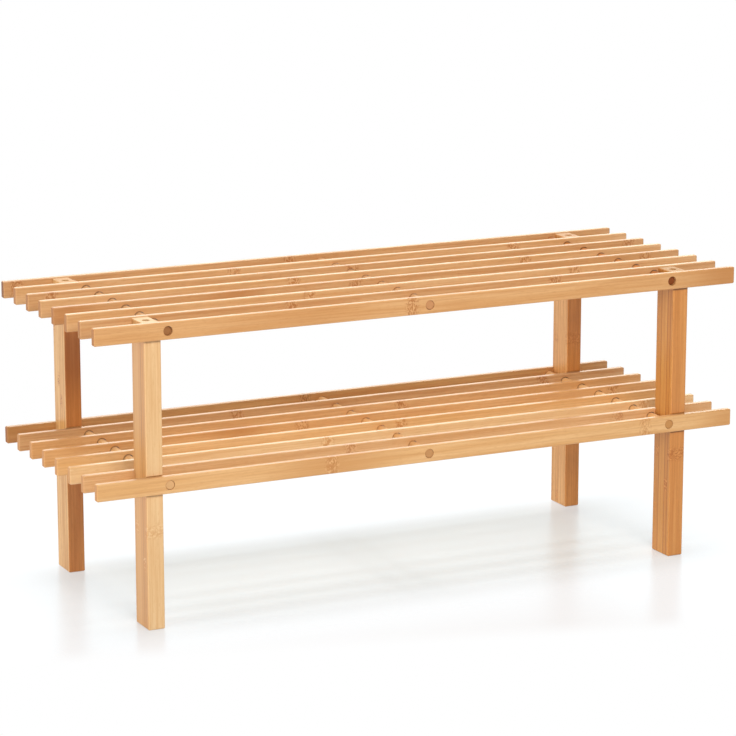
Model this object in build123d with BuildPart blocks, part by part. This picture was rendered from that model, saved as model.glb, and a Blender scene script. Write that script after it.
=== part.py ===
from build123d import *
import os

# A low two-tier bench of bamboo slats on edge, threaded on round rods, with four straight legs.
# X runs along the slats, the front faces -Y, and the origin is on the floor under the middle.

# Overall depth, over the outer faces of the front and rear slats
bench_depth = 273.0

# Slats
slat_length = 740.0
slat_height = 18.0
slat_thickness = 7.0
slats_per_tier = 8
slat_corner_cut = 1.0
slat_edge_chamfer = 0.8

# Heights of the slat tops above the floor
upper_tier_top = 318.0
lower_tier_top = 160.0

# Legs, which stand between the two outermost slats at the front and at the rear
leg_width = 18.0
leg_end_inset = 55.0
leg_edge_radius = 1.2
leg_end_chamfer = 0.8
leg_top_drop = 1.0

# Housings in the front and rear faces of a leg, which hold a slat on each side
housing_depth = 1.5
housing_clearance = 1.0

# Peg holes in both ends of a leg, for stacking one bench on another
peg_hole_diameter = 8.0
peg_hole_depth = 20.0

# Rods from front to rear, one close beside each pair of legs and one in the middle
# The front and rear slats hold them, and the slats between are threaded on loosely
rod_diameter = 9.4
rod_hole_clearance = 0.3
loose_hole_clearance = 0.7
rod_leg_clearance = 0.8
rod_end_chamfer = 0.4
flush_rod_setback = 0.3
sunk_rod_setback = 3.0

# Places that follow from the sizes above
slat_pitch = (bench_depth - slat_thickness) / (slats_per_tier - 1)
slat_gap = slat_pitch - slat_thickness
slat_rows = [slat_pitch * (row - (slats_per_tier - 1) / 2) for row in range(slats_per_tier)]
leg_depth = slat_gap + 2 * housing_depth
leg_height = upper_tier_top - leg_top_drop
leg_x = slat_length / 2 - leg_end_inset - leg_width / 2
leg_y = (slat_rows[-1] + slat_rows[-2]) / 2
housing_height = slat_height + 2 * housing_clearance
rod_radius = rod_diameter / 2
outer_rod_x = leg_x - leg_width / 2 - rod_leg_clearance - rod_radius
rod_places = {"left": -outer_rod_x, "middle": 0.0, "right": outer_rod_x}
tier_middles = {"upper": upper_tier_top - slat_height / 2, "lower": lower_tier_top - slat_height / 2}


def hole_radius(number):
    """Radius of the rod holes in a slat, counted from the front."""
    return rod_radius + (rod_hole_clearance if number in (1, slats_per_tier) else loose_hole_clearance)


def rod_setback(tier, place):
    """Distance from the outer slat faces to the end of a rod: the upper outer rods are sunk."""
    return sunk_rod_setback if tier == "upper" and place != "middle" else flush_rod_setback


os.makedirs("parts", exist_ok=True)

# Slats, numbered from the front: a board on edge with eased edges, drilled for the rods
for tier, middle in tier_middles.items():
    for number, row in enumerate(slat_rows, start=1):
        with BuildPart() as slat:
            with BuildSketch(Plane.XZ.offset(-row)) as outline:
                with Locations((0, middle)):
                    Rectangle(slat_length, slat_height)
                chamfer(outline.vertices(), slat_corner_cut)
            extrude(amount=slat_thickness / 2, both=True)
            chamfer(slat.faces().filter_by(Axis.Y).edges(), slat_edge_chamfer)
            with BuildSketch(Plane.XZ.offset(-row)):
                with Locations(*[(rod_x, middle) for rod_x in rod_places.values()]):
                    Circle(hole_radius(number))
            extrude(amount=slat_thickness, both=True, mode=Mode.SUBTRACT)
        slat.part.label = f"{tier}_slat_{number}"
        export_step(slat.part, f"parts/{slat.part.label}.step")

# Rods, each through every slat of its tier
for tier, middle in tier_middles.items():
    for place, rod_x in rod_places.items():
        with BuildPart() as rod:
            with BuildSketch(Plane.XZ):
                with Locations((rod_x, middle)):
                    Circle(rod_radius)
            extrude(amount=bench_depth / 2 - rod_setback(tier, place), both=True)
            chamfer(rod.edges().filter_by(GeomType.CIRCLE), rod_end_chamfer)
        rod.part.label = f"{tier}_{place}_rod"
        export_step(rod.part, f"parts/{rod.part.label}.step")

# Legs: a straight post, housed for the slats of both tiers and drilled at both ends
for side, side_x in {"left": -leg_x, "right": leg_x}.items():
    for face, face_y in {"front": -leg_y, "rear": leg_y}.items():
        with BuildPart() as leg:
            with BuildSketch(Plane.XY):
                with Locations((side_x, face_y)):
                    RectangleRounded(leg_width, leg_depth, leg_edge_radius)
            extrude(amount=leg_height)
            chamfer(leg.faces().filter_by(Axis.Z).edges(), leg_end_chamfer)
            with BuildSketch(Plane.YZ.offset(side_x)):
                with Locations(*[(face_y, middle) for middle in tier_middles.values()]):
                    Rectangle(leg_depth, housing_height)
                    Rectangle(slat_gap, housing_height, mode=Mode.SUBTRACT)
            extrude(amount=leg_width, both=True, mode=Mode.SUBTRACT)
            foot_end, *_, top_end = leg.faces().sort_by(Axis.Z)
            with Locations(foot_end, top_end):
                Hole(peg_hole_diameter / 2, peg_hole_depth)
        leg.part.label = f"{face}_{side}_leg"
        export_step(leg.part, f"parts/{leg.part.label}.step")
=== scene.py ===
"""Looks of a low two-tier bench of bamboo slats: its lacquered finishes, the studio and the camera."""

import logging
import math
from dataclasses import dataclass, field, replace
from enum import Enum
from typing import Any

import bpy
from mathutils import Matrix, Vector


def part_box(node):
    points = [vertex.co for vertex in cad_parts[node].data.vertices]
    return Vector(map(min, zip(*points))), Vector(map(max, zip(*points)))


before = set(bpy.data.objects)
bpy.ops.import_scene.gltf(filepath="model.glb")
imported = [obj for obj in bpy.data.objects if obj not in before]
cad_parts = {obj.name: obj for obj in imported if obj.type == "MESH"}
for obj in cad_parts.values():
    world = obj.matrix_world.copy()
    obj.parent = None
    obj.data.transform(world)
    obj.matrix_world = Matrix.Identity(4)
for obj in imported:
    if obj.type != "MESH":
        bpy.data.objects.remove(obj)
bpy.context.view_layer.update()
LOG = logging.getLogger("slatted_bench")
MM = 0.001
WHITE = "#FFFFFF"

# Places of the colour sockets on a Mix node
MIX_FACTOR, MIX_A, MIX_B = 0, 6, 7

# Further along, in mm, than any leg or rod reaches, so a knuckle there doesn't show on its face
OFF_THE_PIECE = 400.0


def linear(hex_colour: str) -> tuple[float, float, float, float]:
    """Turns an sRGB hex colour into the linear values that Blender's sockets take.

    Args:
        hex_colour: a hash and six hex digits.

    Returns:
        Linear red, green and blue, and a full alpha.
    """
    parts = [int(hex_colour[i:i + 2], 16) / 255 for i in (1, 3, 5)]
    red, green, blue = (p / 12.92 if p <= 0.04045 else ((p + 0.055) / 1.055) ** 2.4 for p in parts)
    return red, green, blue, 1.0


def add_node(tree: bpy.types.NodeTree, kind: str, feeds: dict[str | int, Any] | None = None,
             **settings: Any) -> bpy.types.Node:
    """Adds a node, sets it up and feeds its inputs.

    Args:
        tree: the node tree of a material or of the world.
        kind: Blender's name for the node type, after its "ShaderNode".
        feeds: for each input, by name or place, a plain value, a socket to link, or a node whose
            first enabled output is linked.
        **settings: attributes of the node itself.

    Returns:
        The new node.
    """
    node = tree.nodes.new("ShaderNode" + kind)
    for key, value in settings.items():
        setattr(node, key, value)
    for key, value in (feeds or {}).items():
        if isinstance(value, bpy.types.Node):
            value = next(socket for socket in value.outputs if socket.enabled)
        if isinstance(value, bpy.types.NodeSocket):
            tree.links.new(value, node.inputs[key])
        else:
            node.inputs[key].default_value = value
    return node


def distance(tree: bpy.types.NodeTree, place: bpy.types.Node | bpy.types.NodeSocket,
             middle: float) -> bpy.types.Node:
    """Measures how far a place is from a middle, to either side.

    Args:
        tree: the tree of the material.
        place: the node or socket with the place.
        middle: what it is measured from.

    Returns:
        A node with the distance.
    """
    offset = add_node(tree, "Math", {0: place, 1: middle}, operation="SUBTRACT")
    return add_node(tree, "Math", {0: offset}, operation="ABSOLUTE")


def box_mm(node_name: str) -> tuple[Vector, Vector]:
    """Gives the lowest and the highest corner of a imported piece, in mm."""
    low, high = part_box(node_name)
    return low / MM, high / MM


class Tier(Enum):
    """The two tiers of boards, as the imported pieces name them."""

    UPPER = "upper"
    LOWER = "lower"


class Run(Enum):
    """Frame axes that a piece's fibres, strip width and stacked strips follow."""

    SLAT = ("X", "Z", "Y")
    LEG = ("Z", "X", "Y")
    ROD = ("Y", "X", "Z")


class Counted(Enum):
    """What is counted through a stack of strips, with the rounding that counts it."""

    STRIPS = "FLOOR"
    GLUE_LINES = "ROUND"


@dataclass(frozen=True)
class Tone:
    """Colours of one bamboo strip, from its pale ground to the dark specks at a knuckle."""

    ground: str
    warm: str
    fibre: str
    knuckle: str


class Culm(Enum):
    """Tones in one batch of strips: natural ones are pale, longer steamed ones are browner."""

    PALE = Tone("#EAC491", "#E4B883", "#D39D61", "#C37D39")
    STRAW = Tone("#E5B57C", "#DDA86B", "#C98E52", "#B56E2C")
    HONEY = Tone("#DEB07E", "#D6A46E", "#C3864B", "#AC6526")
    TAN = Tone("#D4A573", "#CB9864", "#B97A44", "#A25B21")
    AMBER = Tone("#D7934E", "#CD8642", "#B46F33", "#A85C1F")
    RUSSET = Tone("#CE8A4B", "#C47D40", "#AB652E", "#9E521B")
    COPPER = Tone("#D49A50", "#C0813C", "#A4652B", "#96501C")
    FAWN = Tone("#CF9C62", "#BF864C", "#AF7641", "#8E5526")
    WHEAT = Tone("#E4B576", "#D49F5C", "#C68E4E", "#B1783A")
    OCHRE = Tone("#E5B172", "#D89E5C", "#C48442", "#AE6E2F")
    GOLD = Tone("#DCA870", "#D59D62", "#BF8044", "#A75F21")


@dataclass(frozen=True)
class StainAndShade:
    """A browner patch along a strip: mostly where the steam reached for longer, and on a few pieces painted
    shade. Its place and reach are in mm.
    """

    at: float
    reach: float = 50.0
    strength: float = 0.65


@dataclass(frozen=True)
class Strip:
    """What sets one piece's bamboo apart from the next: its tone and the places of its knuckles in mm.

    A glued-up piece shows the edges of other strips on its sides, in a tone of their own.
    """

    culm: Culm
    knuckles: tuple[float, ...]
    seed: int
    edge_culm: Culm | None = None
    end_colour: str = ""
    stains_and_shade: tuple[StainAndShade, ...] = ()
    knuckle_strength: float = 0.72


@dataclass(frozen=True)
class SawnEnd:
    """The sawn ends of a piece: end grain drinks in the lacquer, so it is duller than the long faces.

    The two ends are places along the fibres, and the dull look starts and is full a little before them,
    all in mm.
    """

    # On some pieces this colour is darkened further, as painted shade.
    colour: str
    low: float
    high: float
    strength: float = 0.8
    roughness: float = 0.6
    start: float = 0.6
    full: float = 0.2

    def mask(self, tree: bpy.types.NodeTree, place: bpy.types.Node) -> bpy.types.Node:
        """Finds the last half millimetre of the piece.

        Args:
            tree: the tree of the material.
            place: the node that gives places on the piece in mm.

        Returns:
            A node that is 1 on the sawn ends and 0 elsewhere.
        """
        from_middle = distance(tree, place.outputs[0], (self.low + self.high) / 2)
        half_length = (self.high - self.low) / 2
        return add_node(tree, "MapRange", {
            "Value": from_middle, "From Min": half_length - self.start, "From Max": half_length - self.full})


@dataclass(frozen=True)
class RodGapShade:
    """Painted shade around the two outer rod holes of a board: a dark ring around each rod, where the gap
    between rod and hole lies in shade.

    The ring is full up to one distance from the rod and gone at the other, both in mm.
    """

    spacing: float
    height: float
    rod_radius: float
    full: float = 0.6
    gone: float = 1.4
    strength: float = 0.85
    colour: str = "#5E3212"

    def mask(self, tree: bpy.types.NodeTree, place: bpy.types.Node) -> bpy.types.Node:
        """Finds the walls of the holes and a narrow ring around them.

        Args:
            tree: the tree of the material.
            place: the node that gives places on the piece in mm.

        Returns:
            A node that is 1 near the rods, fades over the ring and is 0 elsewhere.
        """
        from_middle = add_node(tree, "Math", {0: place.outputs[0]}, operation="ABSOLUTE")
        along = add_node(tree, "Math", {0: from_middle, 1: self.spacing}, operation="SUBTRACT")
        across = add_node(tree, "Math", {0: place.outputs[1], 1: self.height}, operation="SUBTRACT")
        offset = add_node(tree, "CombineXYZ", {0: along, 1: across})
        from_rod = add_node(tree, "VectorMath", {0: offset}, operation="LENGTH")
        return add_node(tree, "MapRange", {
            "Value": from_rod,
            "From Min": self.rod_radius + self.gone, "From Max": self.rod_radius + self.full})


@dataclass(frozen=True)
class BoardShadowLines:
    """Painted shade on the outer faces of a post: dark lines just under the boards it carries, where the
    boards shade it.

    Lengths are in mm, and the core is the share of a line's width that is fully dark.
    """

    heights: tuple[float, ...]
    stack_depth: float
    reach: float
    strength: float
    width: float = 1.5
    core: float = 0.4
    colour: str = "#6B3F1B"

    def mask(self, tree: bpy.types.NodeTree, place: bpy.types.Node) -> bpy.types.Node:
        """Finds the lines under the boards, near the two outer faces.

        Args:
            tree: the tree of the material.
            place: the node that gives places on the piece in mm.

        Returns:
            A node that is 1 on the lines and 0 elsewhere.
        """
        lines = None
        for height in self.heights:
            line = add_node(tree, "MapRange", {
                "Value": distance(tree, place.outputs[0], height),
                "From Min": self.width, "From Max": self.width * self.core})
            lines = add_node(tree, "Math", {0: line, 1: lines}, operation="MAXIMUM") if lines else line
        from_face = add_node(tree, "Math", {
            0: place.outputs[2], 1: self.stack_depth / 2}, operation="PINGPONG")
        outer = add_node(tree, "Math", {0: from_face, 1: self.reach}, operation="LESS_THAN")
        return add_node(tree, "Math", {0: lines, 1: outer}, operation="MULTIPLY")


@dataclass(frozen=True)
class Pattern:
    """One pattern in the bamboo: how long and wide its patches are in mm, and how finely they break up."""

    length: float
    width: float
    detail: float

    def lay(self, tree: bpy.types.NodeTree, places: bpy.types.Node) -> bpy.types.Node:
        """Lays the pattern along the fibres.

        Args:
            tree: the tree of the material.
            places: the node that gives places in mm, with the one along the fibres first.

        Returns:
            A node with the level of the pattern.
        """
        per_mm = (1 / self.length, 1 / self.width, 1 / self.width)
        sized = add_node(tree, "VectorMath", {0: places, 1: per_mm}, operation="MULTIPLY")
        return add_node(tree, "TexNoise", {"Vector": sized, "Scale": 1.0, "Detail": self.detail})


@dataclass(frozen=True)
class Fade:
    """How a mark follows a pattern: the levels where it starts and is full, and its strength at each."""

    start: float
    full: float
    full_strength: float = 1.0
    start_strength: float = 0.0


@dataclass(frozen=True)
class Grain:
    """Patterns that a piece is coloured from, each as a node of its material."""

    figure: bpy.types.Node
    fibre: bpy.types.Node
    dash: bpy.types.Node
    speck: bpy.types.Node
    knuckle: bpy.types.Node


@dataclass(frozen=True)
class LacqueredBamboo:
    """Planed bamboo strip under a sprayed satin lacquer.

    The eye sees straight fine fibres with short brown dashes, a mottled patch at each knuckle, and
    a soft sheen that turns to a bright line on edges seen at a low angle. Lengths are in mm.
    """

    run: Run
    # A glued-up piece says where its stack starts and how thick its strips are. Others are a single strip.
    stack_origin: float = 0.0
    strip_thickness: float = 1000.0
    figure: Pattern = Pattern(210.0, 7.0, 1.0)
    # Real fibres are about 0.4 mm apart. They are drawn four times coarser, so that they show.
    fibre: Pattern = Pattern(75.0, 1.7, 3.0)
    dash: Pattern = Pattern(7.0, 0.9, 1.0)
    speck: Pattern = Pattern(1.7, 3.4, 2.0)
    # Across the fibres, the edge of a knuckle has three waves in 10 mm, and its swirls eleven in 50 mm.
    knuckle_edge: Pattern = Pattern(50.0, 10 / 3, 2.0)
    swirl: Pattern = Pattern(6.25, 50 / 11, 2.0)
    figuring: Fade = Fade(0.36, 0.62)
    streaks: Fade = Fade(0.42, 0.75, 0.62)
    dashes: Fade = Fade(0.56, 0.74, 0.35)
    # A knuckle has dark specks where their pattern is high, as strong as the strip says, and pale flecks
    # where it is low.
    specks: Fade = Fade(0.46, 0.57, start_strength=0.03)
    flecks: Fade = Fade(0.46, 0.36, 0.8)
    satin: Fade = Fade(0.35, 0.7)
    knuckle_reach: float = 10.0
    # The share of the reach within which a knuckle is at its full strength
    knuckle_core: float = 0.3
    knuckle_wander: float = 3.0
    knuckle_scatter: float = 240.0
    # How far the face strip's own colour goes round onto the sides of a stack
    face_depth: float = 1.7
    # A glue line is about 0.1 mm wide, and is drawn wider so that it shows.
    glue_line: float = 1.0
    # How far a piece's patterns, strip shades and glue lines are from those of the piece with the next seed
    seed_step: tuple[float, float, float] = (613.0, 47.0, 31.0)
    shade_step: float = 178.5
    line_step: float = 375.5
    # Typical for a clear wood lacquer. Its own surface gives all the sheen.
    ior: float = 1.47
    smooth_roughness: float = 0.32
    fibre_roughness: float = 0.42
    relief: float = 0.02
    relief_strength: float = 0.5

    def material(self, name: str, strip: Strip, end: SawnEnd,
                 marks: tuple[RodGapShade | BoardShadowLines, ...] = ()) -> bpy.types.Material:
        """Makes the finish of one piece.

        Args:
            name: name of the material.
            strip: tone, knuckles and seed of the piece.
            end: look of its sawn ends.
            marks: painted shade, around the rods or under the boards.

        Returns:
            The new material.
        """
        material = bpy.data.materials.new(name)
        material.use_nodes = True
        tree = material.node_tree
        tree.nodes.clear()
        place = self.measure(tree)
        grain = self.grain(tree, place, strip)
        colour = self.colour(tree, place, grain, strip)
        sawn = end.mask(tree, place)
        # Painted shade from the marks goes on first, then the sawn ends.
        for mark, mask in [(mark, mark.mask(tree, place)) for mark in marks] + [(end, sawn)]:
            strength = add_node(tree, "Math", {0: mask, 1: mark.strength}, operation="MULTIPLY")
            colour = add_node(tree, "Mix", {
                MIX_FACTOR: strength, MIX_A: colour, MIX_B: linear(mark.colour)}, data_type="RGBA")
        satin = add_node(tree, "MapRange", {
            "Value": grain.fibre, "From Min": self.satin.start, "From Max": self.satin.full,
            "To Min": self.smooth_roughness, "To Max": self.fibre_roughness})
        roughness = add_node(tree, "MapRange", {"Value": sawn, "To Min": satin, "To Max": end.roughness})
        grooves = add_node(tree, "Bump", {
            "Strength": self.relief_strength, "Distance": self.relief * MM, "Height": grain.fibre},
            invert=True)
        surface = add_node(tree, "BsdfPrincipled", {
            "Base Color": colour, "Roughness": roughness, "IOR": self.ior, "Normal": grooves})
        add_node(tree, "OutputMaterial", {"Surface": surface})
        return material

    def measure(self, tree: bpy.types.NodeTree) -> bpy.types.Node:
        """Turns places in the frame into mm along the fibres, across the strip and through the stack.

        Args:
            tree: the tree of the material.

        Returns:
            A node with those three outputs, in that order.
        """
        axes = add_node(tree, "SeparateXYZ", {0: add_node(tree, "TexCoord").outputs["Object"]})
        ordered = add_node(tree, "CombineXYZ", {
            i: axes.outputs[axis] for i, axis in enumerate(self.run.value)})
        scaled = add_node(tree, "VectorMath", {
            0: ordered, 1: (1 / MM,) * 3, 2: (0.0, 0.0, -self.stack_origin)}, operation="MULTIPLY_ADD")
        return add_node(tree, "SeparateXYZ", {0: scaled})

    def draw(self, tree: bpy.types.NodeTree, place: bpy.types.Node, counted: Counted,
             start: float) -> bpy.types.Node:
        """Draws a chance value for each strip of the stack, or for each glue line.

        Args:
            tree: the tree of the material.
            place: the node that gives places on the piece in mm.
            counted: what gets a value.
            start: the number of the first one, which sets the draw apart from others.

        Returns:
            A node with a value from 0 to 1.
        """
        depth = add_node(tree, "Math", {0: place.outputs[2], 1: self.strip_thickness}, operation="DIVIDE")
        number = add_node(tree, "Math", {0: depth}, operation=counted.value)
        own = add_node(tree, "Math", {0: number, 1: start}, operation="ADD")
        return add_node(tree, "TexWhiteNoise", {"W": own}, noise_dimensions="1D")

    def knuckle(self, tree: bpy.types.NodeTree, place: bpy.types.Node, seeded: bpy.types.Node,
                strip: Strip) -> bpy.types.Node:
        """Finds the knuckles, which have ragged edges.

        Args:
            tree: the tree of the material.
            place: the node that gives places on the piece in mm.
            seeded: the same places, moved apart from those of other pieces.
            strip: the strip that the knuckles belong to.

        Returns:
            A node that is 1 in the middle of a knuckle and 0 away from it.
        """
        ragged = self.knuckle_edge.lay(tree, seeded)
        along = add_node(tree, "Math", {
            0: ragged, 1: self.knuckle_reach, 2: place.outputs[0]}, operation="MULTIPLY_ADD")
        if strip.edge_culm:
            scatter = self.draw(tree, place, Counted.STRIPS, 0.0)
            behind_first = add_node(tree, "Math", {
                0: place.outputs[2], 1: self.strip_thickness}, operation="GREATER_THAN")
            moved = add_node(tree, "Math", {0: scatter, 1: behind_first}, operation="MULTIPLY")
            along = add_node(tree, "Math", {
                0: moved, 1: self.knuckle_scatter, 2: along}, operation="MULTIPLY_ADD")
        nearest = None
        for knuckle_at in strip.knuckles:
            away = distance(tree, along, knuckle_at + self.knuckle_reach / 2)
            nearest = add_node(tree, "Math", {0: away, 1: nearest}, operation="MINIMUM") if nearest else away
        return add_node(tree, "MapRange", {
            "Value": nearest,
            "From Min": self.knuckle_reach, "From Max": self.knuckle_reach * self.knuckle_core},
            interpolation_type="SMOOTHSTEP")

    def grain(self, tree: bpy.types.NodeTree, place: bpy.types.Node, strip: Strip) -> Grain:
        """Lays out the patterns of the bamboo: fibres run straight, and wander around a knuckle.

        Args:
            tree: the tree of the material.
            place: the node that gives places on the piece in mm.
            strip: knuckles and seed of the piece.

        Returns:
            The patterns.
        """
        joined = add_node(tree, "CombineXYZ", dict(enumerate(place.outputs)))
        seeded = add_node(tree, "VectorMath", {
            0: joined, 1: tuple(strip.seed * step for step in self.seed_step)}, operation="ADD")
        knuckle = self.knuckle(tree, place, seeded, strip)
        swirl = self.swirl.lay(tree, seeded)
        # Noise lies around a half, so it moves the fibres by up to the wander to either side.
        centred = add_node(tree, "VectorMath", {
            0: swirl.outputs["Color"], 1: (0.5, 0.5, 0.5)}, operation="SUBTRACT")
        reach = add_node(tree, "Math", {0: knuckle, 1: self.knuckle_wander * 2}, operation="MULTIPLY")
        wander = add_node(tree, "VectorMath", {0: centred, 3: reach}, operation="SCALE")
        bent = add_node(tree, "VectorMath", {0: seeded, 1: wander}, operation="ADD")
        patterns = (self.figure, self.fibre, self.dash, self.speck)
        return Grain(*(pattern.lay(tree, bent) for pattern in patterns), knuckle)

    def colour(self, tree: bpy.types.NodeTree, place: bpy.types.Node, grain: Grain,
               strip: Strip) -> bpy.types.Node:
        """Colours the long faces, from the broad figure down to the specks.

        Args:
            tree: the tree of the material.
            place: the node that gives places on the piece in mm.
            grain: the patterns of the piece.
            strip: the tone of the piece.

        Returns:
            A node with the colour.
        """
        tone = strip.culm.value
        figured = add_node(tree, "MapRange", {
            "Value": grain.figure, "From Min": self.figuring.start, "From Max": self.figuring.full})
        colour = add_node(tree, "Mix", {
            MIX_FACTOR: figured, MIX_A: linear(tone.ground), MIX_B: linear(tone.warm)}, data_type="RGBA")
        for dark_patch in strip.stains_and_shade:
            patch_strength = add_node(tree, "MapRange", {
                "Value": distance(tree, place.outputs[0], dark_patch.at),
                "From Min": dark_patch.reach, "From Max": 0.0, "To Max": dark_patch.strength},
                interpolation_type="SMOOTHSTEP")
            colour = add_node(tree, "Mix", {
                MIX_FACTOR: patch_strength, MIX_A: colour, MIX_B: linear(tone.fibre)}, data_type="RGBA")
        if strip.edge_culm:
            colour = self.stacked(tree, place, colour, strip)
        specks = replace(self.specks, full_strength=strip.knuckle_strength)
        for pattern, fade, shade in (
                (grain.fibre, self.streaks, tone.fibre), (grain.dash, self.dashes, tone.fibre),
                (grain.speck, self.flecks, tone.ground), (grain.speck, specks, tone.knuckle)):
            strength = add_node(tree, "MapRange", {
                "Value": pattern, "From Min": fade.start, "From Max": fade.full,
                "To Min": fade.start_strength, "To Max": fade.full_strength})
            # Specks and flecks show at the knuckles alone.
            if pattern is grain.speck:
                strength = add_node(tree, "Math", {0: grain.knuckle, 1: strength}, operation="MULTIPLY")
            colour = add_node(tree, "Mix", {
                MIX_FACTOR: strength, MIX_A: colour, MIX_B: linear(shade)}, data_type="RGBA")
        return colour

    def stacked(self, tree: bpy.types.NodeTree, place: bpy.types.Node, face: bpy.types.Node,
                strip: Strip) -> bpy.types.Node:
        """Colours the edges of the strips behind the face strip, each in a shade of its own, with dark lines
        where the strips are glued.

        Args:
            tree: the tree of the material.
            place: the node that gives places on the piece in mm.
            face: the node with the colour of the face strip.
            strip: the tones of the piece.

        Returns:
            A node with the colour of the whole stack.
        """
        edge_tone = strip.edge_culm.value
        shade = self.draw(tree, place, Counted.STRIPS, strip.seed * self.shade_step)
        edges = add_node(tree, "Mix", {
            MIX_FACTOR: shade, MIX_A: linear(edge_tone.ground), MIX_B: linear(edge_tone.warm)},
            data_type="RGBA")
        behind_face = add_node(tree, "Math", {
            0: place.outputs[2], 1: self.face_depth}, operation="GREATER_THAN")
        colour = add_node(tree, "Mix", {
            MIX_FACTOR: behind_face, MIX_A: face, MIX_B: edges}, data_type="RGBA")
        from_line = add_node(tree, "Math", {
            0: place.outputs[2], 1: self.strip_thickness / 2}, operation="PINGPONG")
        line = add_node(tree, "MapRange", {"Value": from_line, "From Min": self.glue_line, "From Max": 0.0})
        darkness = self.draw(tree, place, Counted.GLUE_LINES, strip.seed * self.line_step)
        strength = add_node(tree, "Math", {0: line, 1: darkness}, operation="MULTIPLY")
        return add_node(tree, "Mix", {
            MIX_FACTOR: strength, MIX_A: colour, MIX_B: linear(edge_tone.knuckle)}, data_type="RGBA")


def dress(node_name: str, material: bpy.types.Material) -> None:
    """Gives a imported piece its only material.

    Args:
        node_name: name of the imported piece.
        material: its finish.
    """
    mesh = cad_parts[node_name].data
    mesh.materials.clear()
    mesh.materials.append(material)
    LOG.info("dressed %s with %s", node_name, material.name)


@dataclass
class SlatTier:
    """One tier of boards on edge, counted from the front. Sizes are in mm."""

    tier: Tier
    strips: list[Strip]
    end_colour: str
    ends: tuple[float, float] = field(init=False)
    middle: float = field(init=False)
    rod_spacing: float = field(init=False)
    rod_radius: float = field(init=False)

    def __post_init__(self) -> None:
        """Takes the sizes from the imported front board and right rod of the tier."""
        low, high = box_mm(f"{self.tier.value}_slat_1")
        self.ends = (low.x, high.x)
        self.middle = (low.z + high.z) / 2
        rod_low, rod_high = box_mm(f"{self.tier.value}_right_rod")
        self.rod_spacing = (rod_low.x + rod_high.x) / 2
        self.rod_radius = (rod_high.x - rod_low.x) / 2

    def dress(self) -> None:
        """Gives each board the look of one wide bamboo strip with knuckles of its own."""
        finish = LacqueredBamboo(Run.SLAT)
        gap_shade = RodGapShade(self.rod_spacing, self.middle, self.rod_radius)
        for number, strip in enumerate(self.strips, start=1):
            end = SawnEnd(strip.end_colour or self.end_colour, *self.ends)
            # The front and rear boards are drilled closer to the rods, and get no painted ring of shade.
            marks = (gap_shade,) if 1 < number < len(self.strips) else ()
            node_name = f"{self.tier.value}_slat_{number}"
            dress(node_name, finish.material(f"lacquered planed bamboo, {node_name}", strip, end, marks))


@dataclass
class LegSet:
    """Four posts, each glued up from flat strips stacked from front to back. Sizes are in mm."""

    strips: dict[str, Strip]
    board_shadow: dict[str, float]
    strips_per_leg: int = 6
    # What the front and the rear of the glued stack each lost when it was planed to size
    planed_off: float = 1.1
    # How far the painted shade lines lie below the boards
    shadow_drop: float = 1.6
    board_gap: float = field(init=False)
    board_undersides: tuple[float, ...] = field(init=False)

    def __post_init__(self) -> None:
        """Takes the gap that a post fills, and the heights of what it carries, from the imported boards."""
        front_board, next_board = box_mm("upper_slat_1"), box_mm("upper_slat_2")
        self.board_gap = next_board[0].y - front_board[1].y
        self.board_undersides = tuple(box_mm(f"{tier.value}_slat_1")[0].z for tier in Tier)

    def dress(self) -> None:
        """Gives each post a wide strip in front and the edges of the stack on its sides."""
        heights = tuple(underside - self.shadow_drop for underside in self.board_undersides)
        for place, strip in self.strips.items():
            node_name = f"{place}_leg"
            low, high = box_mm(node_name)
            depth = high.y - low.y
            glued_depth = depth + 2 * self.planed_off
            finish = LacqueredBamboo(Run.LEG, low.y - self.planed_off, glued_depth / self.strips_per_leg)
            end = SawnEnd(strip.end_colour, low.z, high.z)
            marks = ()
            # Some posts get painted shade lines just under the boards.
            if place in self.board_shadow:
                housing_depth = (depth - self.board_gap) / 2
                reach = self.planed_off + housing_depth
                marks = (BoardShadowLines(heights, glued_depth, reach, self.board_shadow[place]),)
            dress(node_name, finish.material(f"lacquered laminated bamboo, {node_name}", strip, end, marks))


@dataclass(frozen=True)
class RodLook:
    """The look of a rod: its tone, the colour of its ends and its browner patches."""

    culm: Culm
    end_colour: str
    stains_and_shade: tuple[StainAndShade, ...] = ()


@dataclass
class RodSet:
    """Six turned rods from front to rear."""

    looks: dict[str, RodLook]
    first_seed: int = 41

    def dress(self) -> None:
        """Gives each rod the dull look of sanded bamboo, with end grain that drank in the lacquer. The upper
        outer rods' ends, sunk in their holes, are darkened further as painted shade.
        """
        finish = LacqueredBamboo(Run.ROD, ior=1.4, smooth_roughness=0.6, fibre_roughness=0.7)
        for seed, (place, look) in enumerate(self.looks.items(), start=self.first_seed):
            node_name = f"{place}_rod"
            low, high = box_mm(node_name)
            end = SawnEnd(look.end_colour, low.y, high.y, strength=1.0, roughness=0.8)
            strip = Strip(look.culm, (OFF_THE_PIECE,), seed, stains_and_shade=look.stains_and_shade)
            dress(node_name, finish.material(f"sanded turned bamboo, {node_name}", strip, end))


@dataclass(frozen=True)
class Softbox:
    """A lamp behind a diffuser: where it hangs, what it faces, its sides in metres and its power."""

    name: str
    place: tuple[float, float, float]
    target: tuple[float, float, float]
    sides: tuple[float, float]
    watts: float
    colour: str = WHITE

    def build(self) -> None:
        """Hangs the lamp."""
        lamp = bpy.data.lights.new(self.name, "AREA")
        lamp.shape = "RECTANGLE"
        lamp.size, lamp.size_y = self.sides
        lamp.energy = self.watts
        lamp.color = linear(self.colour)[:3]
        holder = bpy.data.objects.new(self.name, lamp)
        holder.location = self.place
        holder.visible_camera = False
        holder.rotation_euler = (Vector(self.target) - Vector(self.place)).to_track_quat("-Z", "Y").to_euler()
        bpy.context.scene.collection.objects.link(holder)
        LOG.info("hung %s", self.name)


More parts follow.
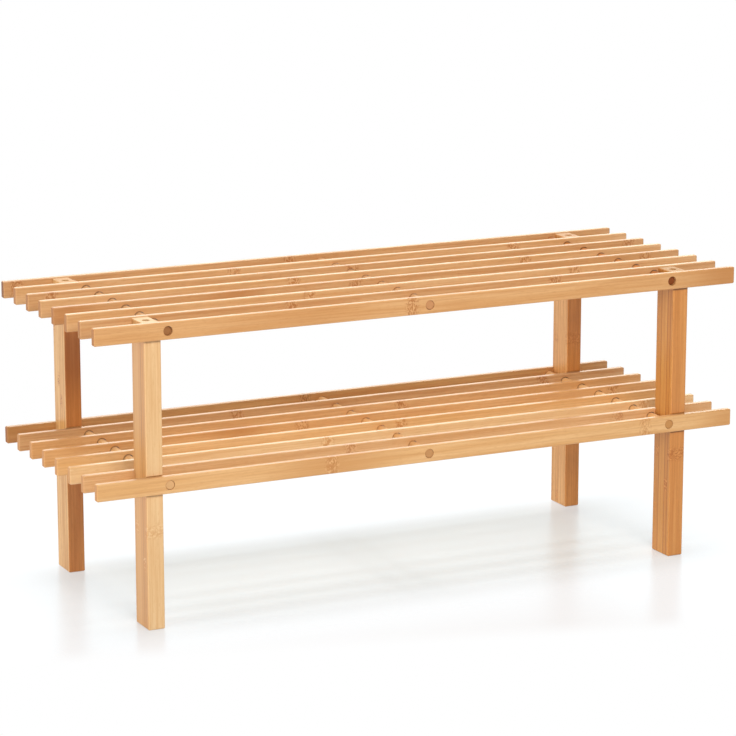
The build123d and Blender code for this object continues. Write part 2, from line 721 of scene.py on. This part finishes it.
@dataclass(frozen=True)
class FloorEdges:
    """Where something on the floor starts to fade and where it is gone, on either side, behind and in front.

    Places are in metres from the middle of the bench. The front edge may run aslant, by its slope
    across the bench.
    """

    side: tuple[float, float]
    back: tuple[float, float]
    front: tuple[float, float]
    front_slope: float = 0.0

    def mask(self, tree: bpy.types.NodeTree) -> bpy.types.Node:
        """Finds the part of the floor within the edges.

        Args:
            tree: the tree of the floor's material.

        Returns:
            A node that is 1 near the bench and 0 beyond the edges.
        """
        axes = add_node(tree, "SeparateXYZ", {0: add_node(tree, "TexCoord").outputs["Object"]})
        across = add_node(tree, "Math", {0: axes.outputs["X"]}, operation="ABSOLUTE")
        aslant = add_node(tree, "Math", {
            0: axes.outputs["X"], 1: self.front_slope, 2: axes.outputs["Y"]}, operation="MULTIPLY_ADD")
        kept = None
        for away, (start, end) in ((across, self.side), (axes.outputs["Y"], self.back), (aslant, self.front)):
            near = add_node(tree, "MapRange", {
                "Value": away, "From Min": start, "From Max": end, "To Min": 1.0, "To Max": 0.0},
                interpolation_type="SMOOTHSTEP")
            kept = add_node(tree, "Math", {0: near, 1: kept}, operation="MULTIPLY") if kept else near
        return kept


@dataclass
class Studio:
    """A white floor that runs out of sight, soft lamps and a white surround. Places are in metres."""

    softboxes: list[Softbox]
    floor_half_width: float = 14.0
    # The floor lies a hair, in mm, below the feet, so that the two don't share a plane.
    floor_drop: float = 0.2
    floor_colour: str = "#E6E9EA"
    # Under the cool coat, the lit board is a little darker and warmer, so that both together look white.
    lit_colour: str = "#FCF9F8"
    coat_colour: str = "#CBE7FF"
    coat_strength: float = 0.085
    coat_roughness: float = 0.27
    shadow_edges: FloorEdges = FloorEdges((0.2, 0.46), (0.07, 0.16), (-0.08, -0.21))
    # Reflections end along a line that runs across the picture, so it is slanted to the bench.
    coat_edges: FloorEdges = FloorEdges((0.38, 0.9), (0.2, 0.8), (-0.26, -0.32), front_slope=0.28)
    surround_fill: float = 0.36

    def build(self) -> None:
        """Sets the surround, lays the floor and hangs the lamps."""
        self.build_surround()
        self.build_floor()
        for softbox in self.softboxes:
            softbox.build()

    def build_surround(self) -> None:
        """Makes the world white to the camera and in reflections, and a softer fill for the object."""
        world = bpy.data.worlds.new("white studio surround")
        bpy.context.scene.world = world
        world.use_nodes = True
        tree = world.node_tree
        tree.nodes.clear()
        seen = self.seen_directly(tree)
        strength = add_node(tree, "MapRange", {"Value": seen, "To Min": self.surround_fill, "To Max": 1.0})
        background = add_node(tree, "Background", {"Color": linear(WHITE), "Strength": strength})
        add_node(tree, "OutputWorld", {"Surface": background})

    def seen_directly(self, tree: bpy.types.NodeTree) -> bpy.types.Node:
        """Adds the test for rays that show a surface: seen, mirrored or through glass.

        Args:
            tree: the tree that the test goes into.

        Returns:
            A node that is 1 for such rays and 0 for those that only carry light.
        """
        rays = add_node(tree, "LightPath")
        mirrored = add_node(tree, "Math", {
            0: rays.outputs["Is Glossy Ray"], 1: rays.outputs["Is Transmission Ray"]}, operation="MAXIMUM")
        return add_node(tree, "Math", {0: rays.outputs["Is Camera Ray"], 1: mirrored}, operation="MAXIMUM")

    def floor_material(self) -> bpy.types.Material:
        """Makes paint rolled on board: a matt white that takes soft shade, under a weak cool sheen.

        The shade stays near the bench and the sheen mirrors the legs. Beyond both, the floor ends in white.

        Returns:
            The new material.
        """
        material = bpy.data.materials.new("white painted board, rolled")
        material.use_nodes = True
        tree = material.node_tree
        tree.nodes.clear()
        painted = add_node(tree, "BsdfDiffuse", {"Color": linear(self.floor_colour)})
        unseen = add_node(tree, "Math", {0: 1.0, 1: self.seen_directly(tree)}, operation="SUBTRACT")
        shaded = add_node(tree, "Math", {0: self.shadow_edges.mask(tree), 1: unseen}, operation="MAXIMUM")
        coat_reach = self.coat_edges.mask(tree)
        lit = add_node(tree, "Mix", {
            MIX_FACTOR: coat_reach, MIX_A: linear(WHITE), MIX_B: linear(self.lit_colour)}, data_type="RGBA")
        glow = add_node(tree, "Emission", {"Color": lit})
        board = add_node(tree, "MixShader", {0: shaded, 1: glow, 2: painted})
        coat = add_node(tree, "BsdfGlossy", {
            "Color": linear(self.coat_colour), "Roughness": self.coat_roughness})
        coated = add_node(tree, "Math", {0: coat_reach, 1: self.coat_strength}, operation="MULTIPLY")
        polished = add_node(tree, "MixShader", {0: coated, 1: board, 2: coat})
        add_node(tree, "OutputMaterial", {"Surface": polished})
        return material

    def build_floor(self) -> None:
        """Lays the floor just below the feet."""
        mesh = bpy.data.meshes.new("studio floor")
        side = self.floor_half_width
        corners = [(-side, -side, 0.0), (side, -side, 0.0), (side, side, 0.0), (-side, side, 0.0)]
        mesh.from_pydata(corners, [], [range(len(corners))])
        mesh.materials.append(self.floor_material())
        floor = bpy.data.objects.new("studio floor", mesh)
        floor.location.z = -self.floor_drop * MM
        bpy.context.scene.collection.objects.link(floor)
        LOG.info("laid the floor")


@dataclass
class StillCamera:
    """The photograph's point of view, fitted to the bench's own edges: metres, degrees and lens mm."""

    eye: tuple[float, float, float] = (-1.41038, -2.88913, 0.94323)
    tilt: float = 77.2312
    heading: float = -25.9432
    lens: float = 149.674
    sensor: float = 36.0
    sight: float = 100.0

    def build(self) -> None:
        """Puts the camera in place and makes it the scene's own."""
        data = bpy.data.cameras.new("still camera")
        data.lens, data.sensor_width = self.lens, self.sensor
        data.clip_end = self.sight
        camera = bpy.data.objects.new("still camera", data)
        camera.location = self.eye
        camera.rotation_euler = (math.radians(self.tilt), 0.0, math.radians(self.heading))
        bpy.context.scene.collection.objects.link(camera)
        bpy.context.scene.camera = camera
        LOG.info("placed the camera")


# Boards of each tier from front to rear: tone, places of the knuckles from the middle in mm, and seed
UPPER_STRIPS = [
    Strip(Culm.GOLD, (-20.0,), 1, stains_and_shade=(StainAndShade(365.0, 80.0, 0.85), StainAndShade(-150.0, 130.0, 0.3))),
    Strip(Culm.TAN, (-140.0, 170.0), 2),
    Strip(Culm.HONEY, (-101.0, 215.0), 3),
    Strip(Culm.TAN, (-30.0, 327.0), 4, stains_and_shade=(StainAndShade(-355.0), StainAndShade(-165.0))),
    Strip(Culm.HONEY, (-85.0, 195.0), 5),
    Strip(Culm.TAN, (-345.0, 2.0, 350.0), 6),
    Strip(Culm.HONEY, (-122.0, 222.0), 7),
    # The rear upper board's end colour is darker still, as painted shade.
    Strip(Culm.TAN, (-355.0, -38.0), 8, end_colour="#6B3A1C")]
LOWER_STRIPS = [
    Strip(Culm.STRAW, (-112.0, 262.0), 11, stains_and_shade=(StainAndShade(375.0, 60.0, 0.7), StainAndShade(-110.0, 110.0, 0.7)),
          knuckle_strength=0.5),
    Strip(Culm.HONEY, (-72.0, 250.0), 12, knuckle_strength=0.55),
    Strip(Culm.PALE, (-81.0, 305.0), 13),
    Strip(Culm.STRAW, (25.0,), 14),
    Strip(Culm.GOLD, (-76.0, 311.0), 15, stains_and_shade=(StainAndShade(-150.0),)),
    Strip(Culm.GOLD, (62.0,), 16),
    Strip(Culm.TAN, (-119.0, 262.0), 17),
    # The rear lower board's left end and its end colour are darkened as painted shade.
    Strip(Culm.FAWN, (-20.0,), 18, end_colour="#8F5424", stains_and_shade=(StainAndShade(-365.0),))]

# Legs: tone of the face, places of the knuckles above the floor in mm, seed and tone of the sides
LEG_STRIPS = {
    "front_left": Strip(Culm.PALE, (103.0,), 21, Culm.FAWN, "#F0CC9F", stains_and_shade=(StainAndShade(60.0, 90.0, 0.28),),
                        knuckle_strength=0.35),
    "front_right": Strip(Culm.AMBER, (115.0,), 22, Culm.COPPER, "#C39768"),
    "rear_left": Strip(Culm.RUSSET, (OFF_THE_PIECE,), 23, Culm.WHEAT, "#D7A675",
                       stains_and_shade=(StainAndShade(230.0, 60.0),)),
    "rear_right": Strip(Culm.AMBER, (199.0,), 24, Culm.OCHRE, "#D0A27A", knuckle_strength=0.35)}

# How strongly the painted shade under the boards shows, on the legs that get it
LEG_BOARD_SHADOW = {"front_left": 0.35, "front_right": 0.7}

ROD_LOOKS = {
    # The upper outer rods' ends sit in their holes, and their dark end colours are painted shade.
    "upper_left": RodLook(Culm.TAN, "#A06C3E"),
    "upper_middle": RodLook(Culm.TAN, "#C48A5A"),
    # The upper right rod's two patches beside the legs are painted shade.
    "upper_right": RodLook(Culm.RUSSET, "#864519", (StainAndShade(-114.0, 32.0, 1.0), StainAndShade(114.0, 32.0, 1.0))),
    "lower_left": RodLook(Culm.STRAW, "#D5A46F"),
    "lower_middle": RodLook(Culm.STRAW, "#BF8A57"),
    "lower_right": RodLook(Culm.STRAW, "#BF884F")}

SOFTBOXES = [
    Softbox("overhead softbox", (0.0, 0.12, 2.0), (0.0, 0.0, 0.2), (0.6, 0.45), 12.0),
    Softbox("left softbox", (-6.0, 0.3, 0.65), (0.0, 0.0, 0.2), (3.2, 1.2), 170.0),
    Softbox("front softbox", (-0.5, -2.2, 1.5), (0.0, 0.0, 0.2), (1.5, 1.0), 38.5),
    Softbox("rear softbox", (1.5, 3.0, 1.3), (0.0, 0.0, 0.3), (5.0, 2.2), 70.0, "#FFFDE9")]


def main() -> None:
    """Dresses the bench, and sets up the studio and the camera."""
    logging.basicConfig(level=logging.INFO, format="%(name)s: %(message)s")
    # The upper boards' ends are given a darker colour than the lower boards', as painted shade.
    SlatTier(Tier.UPPER, UPPER_STRIPS, end_colour="#A56C3B").dress()
    SlatTier(Tier.LOWER, LOWER_STRIPS, end_colour="#BF8652").dress()
    LegSet(LEG_STRIPS, LEG_BOARD_SHADOW).dress()
    RodSet(ROD_LOOKS).dress()
    Studio(SOFTBOXES).build()
    StillCamera().build()
    bpy.context.scene.view_settings.view_transform = "Standard"


if __name__ == "__main__":
    main()
